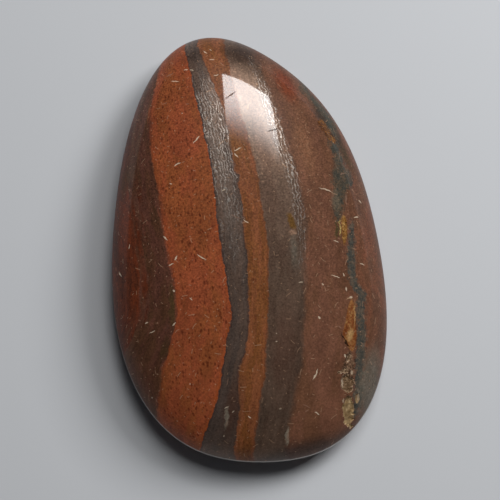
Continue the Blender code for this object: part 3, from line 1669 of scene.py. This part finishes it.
@dataclass(frozen=True)
class IronstoneFinish:
    """The whole stone's finish: bands, seam, dashes, relief and polish.

    Attributes:
        name: The material's name.
        makeup: How the rock is made up.
        banding: The bands.
        blushes_shade_and_sheen: Coloured places under the strands and the seam; some are painted shade at
            the top end, the bottom end and the upper right rim, and one is partly a painted sheen on the
            grey band.
        pinholes: The pinholes.
        strands: The metallic strands, partly a painted sheen.
        seam: The veins.
        glints: Coloured places over the seam, one of them partly a painted sheen on the lower right flank.
        speckle: The very fine specks.
        speckle_run: How strong they are down the length.
        dashes: The dashes and points.
        scratches: The scratches.
        painted_rim_reflection: The painted reflection along the widest line.
        broken_floor: The hollows' floors.
        chips: Pale chips in and beside the hollows.
        surface: The relief and the polish.
    """

    name: str = "polished_ironstone"
    makeup: Makeup = Makeup()
    banding: Banding = Banding()
    blushes_shade_and_sheen: PatchLayer = PatchLayer(
        (
            Patch(Mark(7.3, 15.2, 6.6, -77, 2.6), "7a2c10", "a8502c", 0.75, 0.8),
            Patch(Mark(7.9, 8.0, 11.0, -88, 3.2), "8a5436", "b88460", 0.65, 0.9),
            # Paler grey along the grey band: partly its own tone, partly a painted metallic sheen.
            Patch(Mark(-0.75, 6.0, 24.0, 90, 2.3), "846e60", "ac9a8c", 0.5, 0.8),
            Patch(Mark(1.1, 9.0, 4.8, -88, 1.9), "8c5020", "aa743a", 0.6, 0.8),
            Patch(Mark(-7.9, -5.8, 6.0, 82, 0.9), "463e1e", "6a5c30", 0.5, 0.7),
            Patch(Mark(-9.3, -9.6, 3.6, 65, 1.1), "44341a", "5c4a28", 0.45, 0.8),
            Patch(Mark(-10.6, 8.0, 5.0, 75, 1.4), "48300e", "5e421a", 0.5, 0.8),
            Patch(Mark(4.9, -2.6, 4.8, -97, 1.2), "72685a", "9c9282", 0.6, 0.8),
            Patch(Mark(-6.0, -20.1, 1.3, 0, 1.2), "4a443e", "6c645c", 0.45, 0.8),
            # Painted shade: darker along the upper right rim.
            Patch(Mark(10.9, 10.2, 10.0, -72, 2.2), "2a241a", "463a2c", 0.85, 0.7),
            # Painted shade: greyer and darker along the bottom end.
            Patch(Mark(1.5, -21.9, 18.0, 6, 2.8), "2c2624", "4a4440", 0.65, 0.9),
            Patch(Mark(12.2, 6.4, 5.0, -78, 1.1), "3c3018", "5e5030", 0.65, 0.8),
            Patch(Mark(-3.7, -16.6, 8.5, 70, 2.8), "5c3a2c", "745040", 0.7, 0.9),
            Patch(Mark(2.2, -12.0, 15.0, 77, 3.8), "6e4a38", "866050", 0.5, 0.9),
            Patch(Mark(9.0, -12.0, 3.0, -100, 2.4), "3c241a", "5a3a2c", 0.45, 0.9),
            # Painted shade: darker at the top end above the highlight, which also dims the reflected sheen
            # there.
            Patch(Mark(3.4, 19.3, 6.0, -25, 3.6), "2c1c16", "4a342a", 0.7, 0.8),
            Patch(Mark(-1.6, 19.8, 3.0, 30, 2.4), "382822", "54423a", 0.5, 0.9),
            Patch(Mark(-4.5, -17.5, 2.8, 72, 0.6), "6a5e50", "d0c0a8", 0.85, 0.6),
            Patch(Mark(1.1, -20.2, 2.2, 75, 0.5), "7a6c5c", "d0c0a8", 0.85, 0.6),
        )
    )
    pinholes: PinholeLayer = PinholeLayer()
    strands: Strands = Strands()
    seam: Seam = Seam()
    glints: PatchLayer = PatchLayer(
        (
            # Grey on the lower right flank: partly the stone's own grey, partly a painted sheen.
            Patch(Mark(10.2, -16.4, 10.0, 72, 3.0), "5e584c", "9a9282", 0.85, 0.7),
            Patch(Mark(5.15, 0.4, 2.3, 100, 0.8), "54401a", "a87430", 0.85, 0.5),
            Patch(Mark(5.1, -0.8, 1.0, 20, 0.7), "b08060", "dcb498", 0.7, 0.7),
            Patch(Mark(9.6, -0.9, 2.6, -100, 0.45), "3e3c22", "5a5a34", 0.7, 0.6),
            Patch(Mark(10.05, 2.0, 3.2, -95, 1.2), "5c5040", "9a8a74", 0.6, 0.8),
            Patch(Mark(9.9, -0.9, 2.3, -101, 0.16), "c8a450", "eed890", 0.9, 0.5),
            Patch(Mark(9.0, -11.6, 2.2, -104, 0.9), "c08c50", "ecc488", 0.85, 0.9),
            Patch(Mark(9.45, -11.5, 1.6, -100, 0.4), "8a4420", "a05a30", 0.6, 0.7),
            Patch(Mark(9.82, -9.6, 3.4, -100, 0.2), "c08448", "e0b880", 0.8, 0.6),
            Patch(Mark(8.35, -12.0, 2.3, -70, 0.2), "1c120c", "2a1a10", 0.9, 0.5),
            Patch(Mark(9.55, -8.0, 0.8, 5, 0.22), "c89870", "ecc8a0", 0.8, 0.5),
        )
    )
    speckle: Swells = Swells(5.5, 1.0)
    speckle_run: Points = ((-22.0, 0.7), (-11.0, 0.9), (-2.0, 1.3), (22.0, 1.6))
    dashes: DashLayer = DashLayer()
    scratches: Scratches = Scratches()
    painted_rim_reflection: PaintedRimReflection = PaintedRimReflection()
    broken_floor: BrokenFloor = BrokenFloor()
    chips: PatchLayer = PatchLayer(
        (
            Patch(Mark(7.42, -15.95, 1.2, 80, 0.32), "b89878", "ecd8bc", 0.9, 0.5),
            Patch(Mark(8.75, -17.55, 0.9, 68, 0.36), "b09070", "e4d0b4", 0.85, 0.5),
            Patch(Mark(7.2, -17.75, 0.7, 85, 0.22), "b89878", "e8d4b8", 0.8, 0.5),
            Patch(Mark(7.95, -18.9, 2.0, 72, 0.24), "b89468", "dcc090", 0.8, 0.5),
            Patch(Mark(8.45, -15.2, 0.6, 75, 0.24), "b89878", "ecd8bc", 0.85, 0.5),
        )
    )
    surface: Surface = Surface()

    def build(self) -> bpy.types.Material:
        """Builds the finish.

        Returns:
            The finished material.
        """
        material = bpy.data.materials.new(self.name)
        sheet = StoneSheet(material, self.makeup)
        colour, metallic, roughness, strands = self.banding.lay(sheet)
        colour = self.blushes_shade_and_sheen.lay(sheet, colour)
        colour = self.pinholes.lay(sheet, colour)
        colour, strand = self.strands.lay(sheet, colour, strands)
        metallic = sheet.math("MULTIPLY_ADD", strand, self.strands.metal, metallic)
        colour, seam = sheet.lay_over(colour, self.seam.coats(sheet))
        metallic = sheet.product(metallic, sheet.minus(1.0, seam))
        colour = self.glints.lay(sheet, colour)
        colour = self.add_speckle(sheet, colour)
        colour = self.dashes.lay(sheet, colour)
        colour, scratch = self.scratches.lay(sheet, colour)
        # Painted reflection: a pale line along the widest line, strongest towards the lower right.
        colour = self.painted_rim_reflection.lay(sheet, colour)
        colour, broken = self.broken_floor.lay(sheet, colour)
        colour = self.chips.lay(sheet, colour)
        sound = sheet.minus(1.0, broken)

        shader = sheet.add("BsdfPrincipled")
        sheet.feed(shader.inputs["Base Color"], colour)
        sheet.feed(shader.inputs["Metallic"], sheet.product(metallic, sound))
        rough = sheet.math("MULTIPLY_ADD", broken, self.surface.broken_roughness, roughness)
        sheet.feed(shader.inputs["Roughness"], rough)
        sheet.feed(shader.inputs["Normal"], self.surface.relief(sheet, strand, scratch))
        sheet.feed(shader.inputs["Coat Weight"], self.surface.polish(sheet, sound, scratch))
        shader.inputs["Specular IOR Level"].default_value = self.surface.specular
        shader.inputs["Coat Roughness"].default_value = self.surface.coat_roughness
        shader.inputs["Coat IOR"].default_value = self.surface.coat_ior
        output = sheet.add("OutputMaterial")
        sheet.feed(output.inputs["Surface"], shader.outputs[0])
        return material

    def add_speckle(self, sheet: StoneSheet, colour: Socket) -> Socket:
        """Lightens and darkens the colour in very fine specks.

        Args:
            sheet: The stone's sheet.
            colour: The colour so far.

        Returns:
            The new colour.
        """
        centred = sheet.minus(sheet.noise(sheet.place, self.speckle), 0.5)
        strength = sheet.down_length(self.speckle_run)
        return sheet.scaled(colour, sheet.math("MULTIPLY_ADD", centred, strength, 1.0))


@dataclass(frozen=True)
class PalmStone:
    """The stone's body: an egg outline, a full dome, a low back and broken hollows.

    Attributes:
        low: Lowest corner of the solid's box, in metres.
        high: Highest corner of the solid's box, in metres.
        edge_swell: How far the edge stands outside a plain ellipse, as a share of its radius, at
            equal steps anticlockwise from +X.
        dome_share: Share of the height that lies over the widest line.
        dome_fullness: How square the dome's section is; 2 is an ellipse.
        back_fullness: The same for the back.
        flat_share: Reach of the flat spot, as a share of the widest line's.
        segments: Faces round the stone.
        dome_rings: Rings of faces on the dome.
        back_rings: Rings of faces on the back.
        hollow_cuts: How often the edges round the hollows are cut.
        window_low: Lower corner of the finely cut window round the hollows, across and along.
        window_high: Its upper corner.
        hollows: The broken hollows.
        hollow_foot: Height under which nothing is broken out.
        hollow_beyond: Reach from a hollow's middle past which it has no effect, 1 at its rim.
        rim_swells: Strength and scale of the noises that make the rims uneven.
        floor_level: Level of the floors, as a share of the depth.
        floor_swells: Strength and scale of the noises that make the floors uneven.
        rim_reach: Reach where the wall of a hollow starts down.
        wall_width: Reach over which the wall goes down.
    """

    low: Vector
    high: Vector
    edge_swell: tuple[float, ...] = (
        -0.011, -0.017, -0.035, 0.003, -0.041, -0.100,
        -0.037, 0.088, 0.044, -0.004, 0.066, 0.060,
    )
    dome_share: float = 0.75
    dome_fullness: float = 2.25
    back_fullness: float = 2.4
    flat_share: float = 0.34
    segments: int = 256
    dome_rings: int = 84
    back_rings: int = 26
    hollow_cuts: int = 5
    window_low: tuple[float, float] = (5.8, -21.0)
    window_high: tuple[float, float] = (10.4, -12.2)
    hollows: tuple[Hollow, ...] = (
        Hollow(7.9, -16.2, 1.3, 1.8, 0.26, -4),
        Hollow(7.6, -18.8, 1.2, 3.0, 0.32, -8),
        Hollow(8.7, -17.7, 0.5, 0.9, 0.18, -14),
        Hollow(7.9, -14.9, 0.7, 0.6, 0.14, 10),
        Hollow(8.4, -13.8, 0.35, 0.9, 0.12, -30),
        Hollow(7.3, -15.0, 0.4, 0.3, 0.10, 0),
    )
    hollow_foot: float = 2.5
    hollow_beyond: float = 2.0
    rim_swells: Points = ((0.35, 1.9), (0.15, 5.0))
    floor_level: float = 0.85
    floor_swells: Points = ((0.2, 3.0), (0.06, 8.0))
    rim_reach: float = 1.05
    wall_width: float = 0.3

    def swell_at(self, angle: float) -> float:
        """Reads the edge's swell with the smooth wave through its steps.

        Args:
            angle: Where to read it, in radians anticlockwise from +X.

        Returns:
            How far the edge stands outside a plain ellipse, as a share of its radius.
        """
        count = len(self.edge_swell)
        total = sum(self.edge_swell) / count
        for wave in range(1, count // 2 + 1):
            strength = sum(
                value * cmath.exp(-2j * math.pi * wave * step / count)
                for step, value in enumerate(self.edge_swell)
            )
            share = 1 if 2 * wave == count else 2
            total += share * (strength * cmath.exp(1j * wave * angle)).real / count
        return total

    def build(self, material: bpy.types.Material) -> bpy.types.Object:
        """Builds the stone and dresses it.

        Args:
            material: Its finish.

        Returns:
            The finished object.
        """
        bm = bmesh.new()
        line = [bm.verts.new((reach, 0, height)) for reach, height in self.section()]
        edges = [bm.edges.new(pair) for pair in zip(line, line[1:])]
        bmesh.ops.spin(
            bm,
            geom=line + edges,
            cent=(0, 0, 0),
            axis=(0, 0, 1),
            angle=2 * math.pi,
            steps=self.segments,
            use_merge=True,
        )
        bmesh.ops.remove_doubles(bm, verts=bm.verts, dist=MICROMETRE)
        bmesh.ops.recalc_face_normals(bm, faces=bm.faces)
        place = self.placer()
        self.refine(bm, place)
        girdle = self.girdle()
        for vert in bm.verts:
            reach = math.hypot(vert.co.x, vert.co.y)
            angle = math.atan2(vert.co.y, vert.co.x)
            if vert.co.z > girdle and reach < 1:
                vert.co.z = self.dome_height(reach)
            vert.co.xy = place(reach, angle)
        bm.normal_update()
        self.break_out(bm)
        mesh = bpy.data.meshes.new("polished_stone")
        bm.to_mesh(mesh)
        bm.free()
        mesh.shade_smooth()
        mesh.materials.append(material)
        stone = bpy.data.objects.new("polished_stone", mesh)
        bpy.context.scene.collection.objects.link(stone)
        return stone

    def girdle(self) -> float:
        """Returns the height of the widest line, in metres."""
        return self.low.z + (self.high.z - self.low.z) * (1 - self.dome_share)

    def dome_height(self, reach: float) -> float:
        """Works out the dome's height.

        Args:
            reach: Distance from the middle, 1 at the widest line.

        Returns:
            The height, in metres.
        """
        rise = (self.high.z - self.low.z) * self.dome_share
        return self.girdle() + rise * math.sqrt(1 - reach**self.dome_fullness)

    def section(self) -> list[tuple[float, float]]:
        """Draws the section, from the top to the middle of the flat spot.

        Returns:
            Reach and height of each point.
        """
        points = []
        for ring in range(self.dome_rings + 1):
            turn = math.pi / 2 * ring / self.dome_rings
            reach = math.sin(turn) ** (2 / self.dome_fullness)
            points.append((reach, self.girdle() + (self.high.z - self.girdle()) * math.cos(turn)))
        flat_turn = math.asin(self.flat_share ** (self.back_fullness / 2))
        full_depth = (self.girdle() - self.low.z) / math.cos(flat_turn)
        for ring in range(1, self.back_rings + 1):
            turn = math.pi / 2 + (flat_turn - math.pi / 2) * ring / self.back_rings
            reach = math.sin(turn) ** (2 / self.back_fullness)
            points.append((reach, self.girdle() - full_depth * math.cos(turn)))
        points.append((0.0, self.low.z))
        return points

    def placer(self) -> Callable[[float, float], Vector]:
        """Fits the egg outline to the solid's box.

        Returns:
            The function from reach and angle to a place seen from above, in metres.
        """
        size = self.high - self.low

        def plain(reach: float, angle: float) -> Vector:
            """Places a point on the outline before it is fitted to the box."""
            stretch = reach * (1 + self.swell_at(angle) * reach**2)
            return Vector((size.x / 2 * stretch * math.cos(angle), size.y / 2 * stretch * math.sin(angle)))

        edge = [plain(1, math.radians(degree)) for degree in range(360)]
        low = Vector((min(point.x for point in edge), min(point.y for point in edge)))
        high = Vector((max(point.x for point in edge), max(point.y for point in edge)))
        middle = (low + high) / 2
        fit = Vector((size.x / (high.x - low.x), size.y / (high.y - low.y)))
        centre = ((self.low + self.high) / 2).xy

        def place(reach: float, angle: float) -> Vector:
            """Places a point of the stone."""
            return (plain(reach, angle) - middle) * fit + centre

        return place

    def refine(self, bm: bmesh.types.BMesh, place: Callable[[float, float], Vector]) -> None:
        """Cuts the faces round the hollows finer.

        Args:
            bm: The stone, before its outline is fitted.
            place: The function from reach and angle to a place.
        """
        girdle = self.girdle()
        chosen = set()
        for face in bm.faces:
            middle = face.calc_center_median()
            if middle.z <= girdle:
                continue
            spot = place(math.hypot(middle.x, middle.y), math.atan2(middle.y, middle.x)) / MM
            if self.in_window(spot):
                chosen.update(face.edges)
        bmesh.ops.subdivide_edges(bm, edges=list(chosen), cuts=self.hollow_cuts, use_grid_fill=True)

    def in_window(self, spot: Vector) -> bool:
        """Tells whether a point lies in the finely cut window.

        Args:
            spot: The point.

        Returns:
            Whether it does.
        """
        return all(low < value < high for low, value, high in zip(self.window_low, spot, self.window_high))

    def break_out(self, bm: bmesh.types.BMesh) -> None:
        """Sinks the hollows and notes their depth at each point, for the finish.

        Args:
            bm: The stone, in its place.
        """
        broken = bm.verts.layers.float.new(BROKEN)
        for vert in bm.verts:
            depth = self.depth_at(vert.co / MM)
            if depth > 0:
                vert[broken] = depth
                vert.co -= vert.normal * depth * MM

    def depth_at(self, spot: Vector) -> float:
        """Works out how deep the surface is broken out.

        Args:
            spot: The point.

        Returns:
            The depth, 0 on the polished face.
        """
        if spot.z < self.hollow_foot or not self.in_window(spot):
            return 0.0
        deepest = 0.0
        for hollow in self.hollows:
            turn = Matrix.Rotation(-math.radians(hollow.turn), 2)
            local = turn @ (spot.xy - Vector((hollow.across, hollow.along)))
            reach = math.hypot(local.x / (hollow.width / 2), local.y / (hollow.length / 2))
            if reach > self.hollow_beyond:
                continue
            reach += sum(strength * noise.noise(spot * scale) for strength, scale in self.rim_swells)
            rough = sum(strength * noise.noise(spot * scale) for strength, scale in self.floor_swells)
            wall = min(1.0, max(0.0, (self.rim_reach - reach) / self.wall_width))
            smooth_wall = wall * wall * (3 - 2 * wall)
            deepest = max(deepest, hollow.depth * (self.floor_level + rough) * smooth_wall)
        return deepest


class Seen(Enum):
    """How a light reaches what it shines on."""

    SCATTERED = "scattered"
    MIRRORED = "mirrored"


class Lit(Enum):
    """What a light shines on."""

    EVERYTHING = "everything"
    FLOOR = "floor"
    STONE = "stone"


@dataclass(frozen=True)
class SoftLight:
    """A soft rectangular light that faces the stone.

    Attributes:
        name: Its name.
        azimuth: Its direction, in degrees from +Y towards +X.
        rise: Its height over the floor, in degrees.
        distance: How far off it is, in metres.
        size: Its width and height, in metres.
        glow: How bright its face is.
        roll: Turn of its face, in degrees, which lifts its left side.
        seen: Whether it is scattered by what it shines on, or mirrored in the polish.
        lit: What it shines on.
        fade_from: Share of its height from which it fades out upwards.
    """

    name: str
    azimuth: float
    rise: float
    distance: float
    size: tuple[float, float]
    glow: float
    roll: float = 0.0
    seen: Seen = Seen.SCATTERED
    lit: Lit = Lit.EVERYTHING
    fade_from: float = 1.0

    def hang(self, things: dict[Lit, bpy.types.Object]) -> None:
        """Hangs the light.

        Args:
            things: The objects that a light may be kept to.
        """
        data = bpy.data.lights.new(self.name, "AREA")
        data.shape = "RECTANGLE"
        data.size, data.size_y = self.size
        data.energy = self.glow * math.pi * self.size[0] * self.size[1]
        if self.fade_from < 1:
            self.fade(data)
        light = bpy.data.objects.new(self.name, data)
        turn, lift = math.radians(self.azimuth), math.radians(self.rise)
        away = Vector((math.sin(turn) * math.cos(lift), math.cos(turn) * math.cos(lift), math.sin(lift)))
        rolled = Quaternion((0, 0, 1), math.radians(self.roll))
        light.location = away * self.distance
        light.rotation_euler = (away.to_track_quat("Z", "Y") @ rolled).to_euler()
        light.visible_glossy = self.seen is Seen.MIRRORED
        light.visible_diffuse = self.seen is Seen.SCATTERED
        bpy.context.scene.collection.objects.link(light)
        if self.lit in things:
            receivers = bpy.data.collections.new(self.name + "_receivers")
            receivers.objects.link(things[self.lit])
            light.light_linking.receiver_collection = receivers

    def fade(self, data: bpy.types.AreaLight) -> None:
        """Dims the light's face softly towards its top.

        Args:
            data: The light.
        """
        data.use_nodes = True
        tree = data.node_tree
        face = tree.nodes.new("ShaderNodeNewGeometry")
        parts = tree.nodes.new("ShaderNodeSeparateXYZ")
        range_node = tree.nodes.new("ShaderNodeMapRange")
        range_node.interpolation_type = "SMOOTHSTEP"
        range_node.inputs["From Min"].default_value = 1.0
        range_node.inputs["From Max"].default_value = self.fade_from
        tree.links.new(face.outputs["Parametric"], parts.inputs[0])
        tree.links.new(parts.outputs["Y"], range_node.inputs["Value"])
        tree.links.new(range_node.outputs["Result"], tree.nodes["Emission"].inputs["Strength"])


@dataclass(frozen=True)
class Studio:
    """A pale floor, soft lights and the camera.

    Attributes:
        aim: The point that the middle of the picture shows, in millimetres.
        elevation: The camera's height over the floor, in degrees.
        roll: Turn of the stone in the picture, in degrees.
        distance: From the camera to that point, in millimetres.
        view_width: Width of the picture at that point, in millimetres.
        sensor: Width of the camera's sensor, in millimetres.
        clip: How near and how far the camera sees, in metres.
        floor_tone: The floor's colour.
        floor_half: Half the floor's width, in metres.
        floor_roughness: The floor's roughness.
        room_tint: Colour of the room's own glow.
        room_glow: Strength of the room's own glow.
        lights: The lights.
    """

    aim: tuple[float, float, float] = (0.83, -0.60, 2.4)
    elevation: float = 80.0
    roll: float = 10.0
    distance: float = 160.0
    view_width: float = 51.55
    sensor: float = 36.0
    clip: Span = (0.01, 20.0)
    floor_tone: str = "bcbec1"
    floor_half: float = 2.0
    floor_roughness: float = 0.6
    room_tint: Colour = (0.86, 0.9, 1.0, 1.0)
    room_glow: float = 0.03
    lights: tuple[SoftLight, ...] = (
        SoftLight("window", 24.0, 45.5, 0.45, (0.175, 0.24), 13.0, 5.0, Seen.MIRRORED, Lit.STONE, 0.36),
        SoftLight("daylight", 30.0, 60.0, 0.45, (0.2, 0.2), 8.3),
        SoftLight("ceiling", 150.0, 72.0, 0.6, (0.4, 0.4), 0.5, lit=Lit.STONE),
        SoftLight("lamp", 62.0, 40.0, 0.3, (0.12, 0.12), 17.0, lit=Lit.FLOOR),
    )

    def build(self, stone: bpy.types.Object) -> None:
        """Sets the camera, the floor, the lights and the room.

        Args:
            stone: The stone that they show.
        """
        self.set_camera()
        things = {Lit.FLOOR: self.set_floor(), Lit.STONE: stone}
        for light in self.lights:
            light.hang(things)
        self.set_room()
        bpy.context.scene.view_settings.view_transform = "Standard"
        bpy.context.scene.view_settings.look = "None"

    def picture_axes(self) -> tuple[Vector, Vector, Vector]:
        """Works out how the camera is turned.

        Returns:
            The picture's right, up and towards-the-camera directions.
        """
        rise = math.radians(self.elevation)
        turn = math.radians(self.roll)
        back = Vector((-math.sin(turn) * math.cos(rise), -math.cos(turn) * math.cos(rise), math.sin(rise)))
        right = Vector((math.cos(turn), -math.sin(turn), 0))
        return right, back.cross(right), back

    def set_camera(self) -> None:
        """Places the camera."""
        right, up, back = self.picture_axes()
        data = bpy.data.cameras.new("camera")
        data.sensor_width = self.sensor
        data.lens = self.sensor * self.distance / self.view_width
        data.clip_start, data.clip_end = self.clip
        camera = bpy.data.objects.new("camera", data)
        place = (Vector(self.aim) + back * self.distance) * MM
        turn = Matrix((right, up, back)).transposed().to_4x4()
        camera.matrix_world = Matrix.Translation(place) @ turn
        bpy.context.scene.collection.objects.link(camera)
        bpy.context.scene.camera = camera

    def set_floor(self) -> bpy.types.Object:
        """Lays the pale floor.

        Returns:
            The floor.
        """
        bm = bmesh.new()
        bmesh.ops.create_grid(bm, x_segments=1, y_segments=1, size=self.floor_half)
        mesh = bpy.data.meshes.new("floor")
        bm.to_mesh(mesh)
        bm.free()
        material = bpy.data.materials.new("pale_floor")
        material.use_nodes = True
        shader = material.node_tree.nodes["Principled BSDF"]
        shader.inputs["Base Color"].default_value = tone(self.floor_tone)
        shader.inputs["Roughness"].default_value = self.floor_roughness
        mesh.materials.append(material)
        floor = bpy.data.objects.new("floor", mesh)
        bpy.context.scene.collection.objects.link(floor)
        return floor

    def set_room(self) -> None:
        """Sets the room's own glow."""
        world = bpy.data.worlds.new("room")
        world.use_nodes = True
        background = world.node_tree.nodes["Background"]
        background.inputs["Color"].default_value = self.room_tint
        background.inputs["Strength"].default_value = self.room_glow
        bpy.context.scene.world = world


def main() -> None:
    """Builds the stone and the studio, and logs the stone's triangle count."""
    logging.basicConfig(level=logging.INFO, format="%(name)s: %(message)s")
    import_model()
    low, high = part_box(STONE_NODE)
    stone = PalmStone(low=Vector(low), high=Vector(high)).build(IronstoneFinish().build())
    Studio().build(stone)
    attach(stone, "root")
    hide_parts(STONE_NODE)
    triangles = sum(len(face.vertices) - 2 for face in stone.data.polygons)
    LOG.info("%s: %d triangles", stone.name, triangles)


if __name__ == "__main__":
    main()
